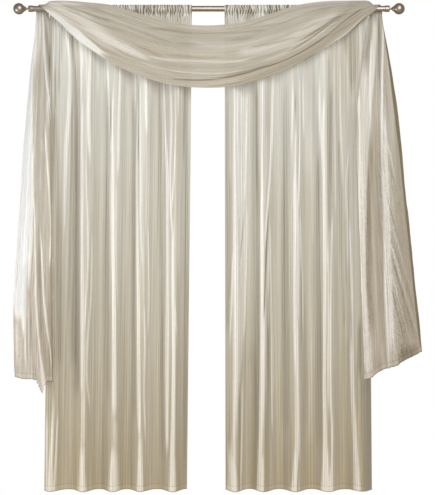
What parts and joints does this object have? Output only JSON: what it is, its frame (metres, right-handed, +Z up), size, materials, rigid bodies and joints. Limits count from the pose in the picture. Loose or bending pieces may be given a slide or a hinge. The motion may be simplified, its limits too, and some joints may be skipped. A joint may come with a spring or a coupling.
{
  "type": "sheer curtain pair with scarf valance on a curtain rod",
  "caption": "Crinkled sheer rod-pocket curtains on a metal rod with ball finials, under a scarf valance that drapes in a swag between hanging tails.",
  "frame": {"origin": "on the rod's axis, at the middle of its length", "axes": "+X along the rod to the right as seen from the room, +Y towards the wall, +Z up"},
  "size_m": [1.8111, 0.1432, 2.1554],
  "materials": {
    "metal": "satin champagne nickel",
    "panel_cloth": "crinkled sheer, matt with a slight lustre",
    "scarf_cloth": "crinkled sheer, matt with a slight lustre"
  },
  "bodies": {
    "root": {"rod": "metal", "end_cap_left": "metal", "end_cap_right": "metal", "finial_left": "metal", "finial_right": "metal", "panel_left": "panel_cloth", "panel_right": "panel_cloth", "scarf": "scarf_cloth"}
  },
  "joints": []
}
